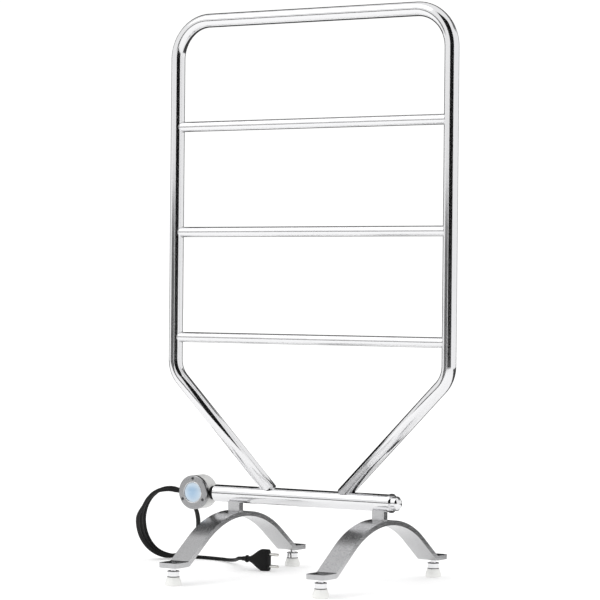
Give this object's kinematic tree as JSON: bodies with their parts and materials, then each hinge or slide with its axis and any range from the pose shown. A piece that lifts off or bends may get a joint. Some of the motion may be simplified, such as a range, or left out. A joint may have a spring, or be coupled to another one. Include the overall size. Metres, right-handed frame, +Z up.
{
  "type": "towel warmer rack",
  "caption": "Free-standing heated towel rack: bent steel tube frame with cross rails on two arched feet, side switch housing and mains lead.",
  "frame": {"origin": "centre of the footprint on the floor, under the middle of the frame", "axes": "+X to the right seen from the front, +Y to the rear, +Z up; the push switch faces -Y"},
  "size_m": [0.6368, 0.376, 0.89],
  "materials": {
    "polished_steel": "fine-brushed, bright",
    "foot_steel": "satin",
    "bright_steel": "polished",
    "screw_steel": "plain",
    "heater_sheath": "dull",
    "brass": "plain",
    "seal_rubber": "matt",
    "black_nylon": "ribbed",
    "housing_grey": "fine light grey",
    "bezel_aluminium": "satin turned",
    "blue_lens": "translucent",
    "white_plastic": "moulded",
    "led_clear": "clear",
    "board_green": "lacquered",
    "wire_brown": "insulation",
    "wire_blue": "insulation",
    "cord_black": "sheathed",
    "pin_nickel": "nickel plated"
  },
  "bodies": {
    "root": {"frame_hoop": "polished_steel", "rail_upper": "polished_steel", "rail_middle": "polished_steel", "rail_lower": "polished_steel", "base_tube": "polished_steel", "heater_element": "heater_sheath", "element_bush": "brass", "element_o_ring": "seal_rubber", "thermal_cutout": "white_plastic", "collar_nut": "black_nylon", "housing_lock_nut": "brass", "end_plug": "bright_steel", "end_plug_seal": "seal_rubber", "switch_housing": "housing_grey", "bezel_gasket": "seal_rubber", "bezel_ring": "bezel_aluminium", "bezel_screws": "screw_steel", "button_spring": "screw_steel", "switch_body": "black_nylon", "indicator_led": "led_clear", "control_board": "board_green", "terminal_block": "white_plastic", "terminal_screws": "brass", "element_leads": "wire_brown", "cord_cores": "wire_blue", "rear_cover": "housing_grey", "rear_cover_screws": "screw_steel", "cord_gland": "cord_black", "power_cord": "cord_black", "plug_body": "cord_black", "plug_pins": "pin_nickel", "foot_arch_left": "foot_steel", "foot_arch_right": "foot_steel", "foot_post_left": "foot_steel", "foot_post_right": "foot_steel", "foot_screw_left": "screw_steel", "foot_screw_right": "screw_steel"},
    "button": {"button_lens": "blue_lens", "button_plunger": "white_plastic"},
    "glide_base_fl": {"glide_pad_fl": "white_plastic"},
    "glide_screw_fl": {"glide_stud_fl": "bright_steel"},
    "glide_base_fr": {"glide_pad_fr": "white_plastic"},
    "glide_screw_fr": {"glide_stud_fr": "bright_steel"},
    "glide_base_rl": {"glide_pad_rl": "white_plastic"},
    "glide_screw_rl": {"glide_stud_rl": "bright_steel"},
    "glide_base_rr": {"glide_pad_rr": "white_plastic"},
    "glide_screw_rr": {"glide_stud_rr": "bright_steel"}
  },
  "joints": [
    {"name": "button_press", "type": "slide", "parent": "root", "child": "button", "axis": [0, 1, 0], "range_m": [0, 0.0025], "stiffness_N_per_m": 500, "springref_m": -0.0015, "deforming": ["button_spring"]},
    {"name": "glide_lift_fl", "type": "slide", "parent": "root", "child": "glide_base_fl", "axis": [0, 0, 1], "range_m": [-0.00187, 0.00187]},
    {"name": "glide_turn_fl", "type": "hinge", "parent": "glide_base_fl", "child": "glide_screw_fl", "pos_m": [-0.1315, -0.171, 0.018], "axis": [0, 0, 1], "range_deg": [-540, 540]},
    {"name": "glide_lift_fr", "type": "slide", "parent": "root", "child": "glide_base_fr", "axis": [0, 0, 1], "range_m": [-0.00187, 0.00187]},
    {"name": "glide_turn_fr", "type": "hinge", "parent": "glide_base_fr", "child": "glide_screw_fr", "pos_m": [0.1315, -0.171, 0.018], "axis": [0, 0, 1], "range_deg": [-540, 540]},
    {"name": "glide_lift_rl", "type": "slide", "parent": "root", "child": "glide_base_rl", "axis": [0, 0, 1], "range_m": [-0.00187, 0.00187]},
    {"name": "glide_turn_rl", "type": "hinge", "parent": "glide_base_rl", "child": "glide_screw_rl", "pos_m": [-0.1315, 0.171, 0.018], "axis": [0, 0, 1], "range_deg": [-540, 540]},
    {"name": "glide_lift_rr", "type": "slide", "parent": "root", "child": "glide_base_rr", "axis": [0, 0, 1], "range_m": [-0.00187, 0.00187]},
    {"name": "glide_turn_rr", "type": "hinge", "parent": "glide_base_rr", "child": "glide_screw_rr", "pos_m": [0.1315, 0.171, 0.018], "axis": [0, 0, 1], "range_deg": [-540, 540]}
  ],
  "couplings": [
    {"joint": "glide_turn_fl", "follows": "glide_lift_fl", "rad_per_m": 5026.5},
    {"joint": "glide_turn_fr", "follows": "glide_lift_fr", "rad_per_m": 5026.5},
    {"joint": "glide_turn_rl", "follows": "glide_lift_rl", "rad_per_m": 5026.5},
    {"joint": "glide_turn_rr", "follows": "glide_lift_rr", "rad_per_m": 5026.5}
  ]
}
